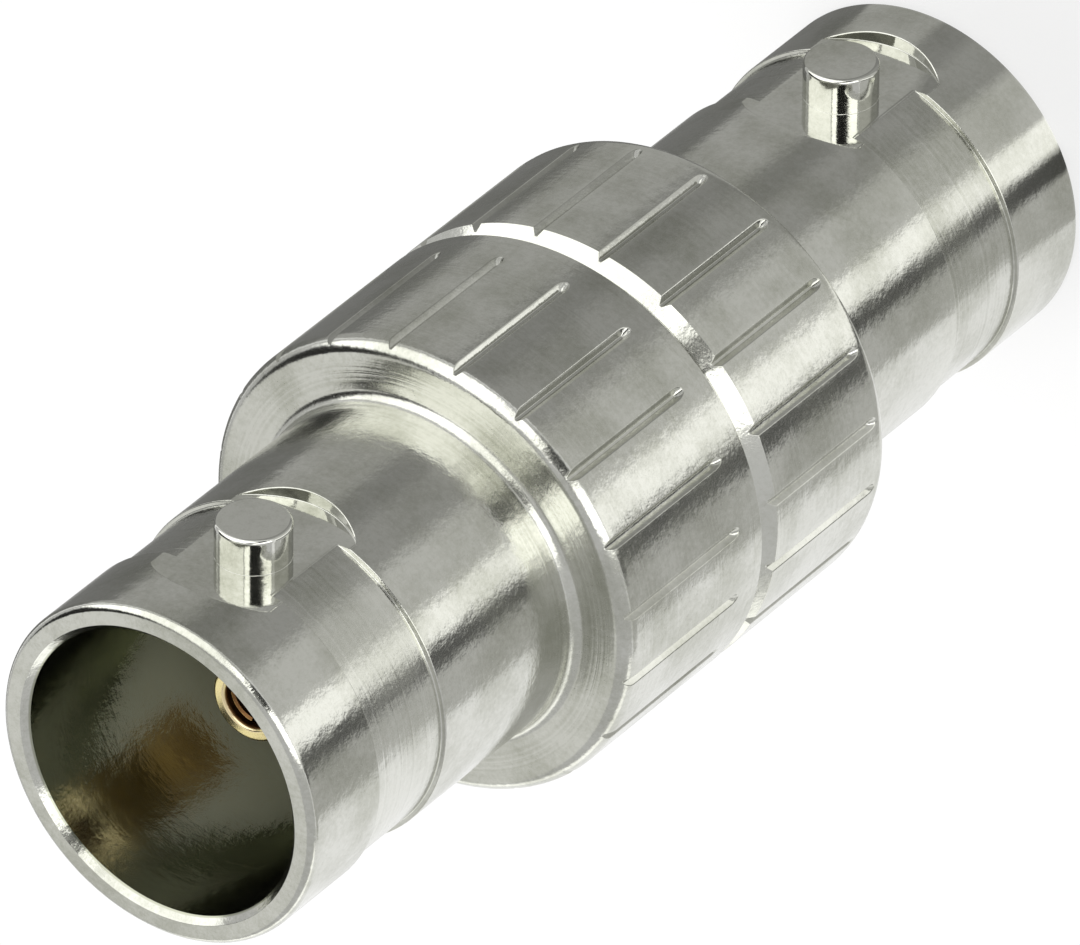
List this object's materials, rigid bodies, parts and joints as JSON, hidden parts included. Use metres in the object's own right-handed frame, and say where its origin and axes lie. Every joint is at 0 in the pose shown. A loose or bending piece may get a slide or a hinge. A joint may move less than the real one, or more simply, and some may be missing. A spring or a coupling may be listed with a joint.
{
  "type": "bnc barrel adapter",
  "caption": "Nickel-plated coaxial coupler with a bayonet socket at each end and a ribbed middle grip, joining two plugs end to end.",
  "frame": {"origin": "centre of the rear socket's rim, on which the adapter stands", "axes": "+Z along the adapter's axis, from the rear socket to the front socket. The lugs stand out on +Y and -Y"},
  "size_m": [0.013, 0.013, 0.034],
  "materials": {
    "nickel": "satin nickel plating on turned and milled brass",
    "insulator": "white turned fluoropolymer",
    "gold": "gold plating"
  },
  "bodies": {
    "root": {"front_shell": "nickel", "rear_shell": "nickel", "front_insulator": "insulator", "rear_insulator": "insulator", "centre_contact": "gold", "front_contact_hood": "gold", "rear_contact_hood": "gold"}
  },
  "joints": []
}
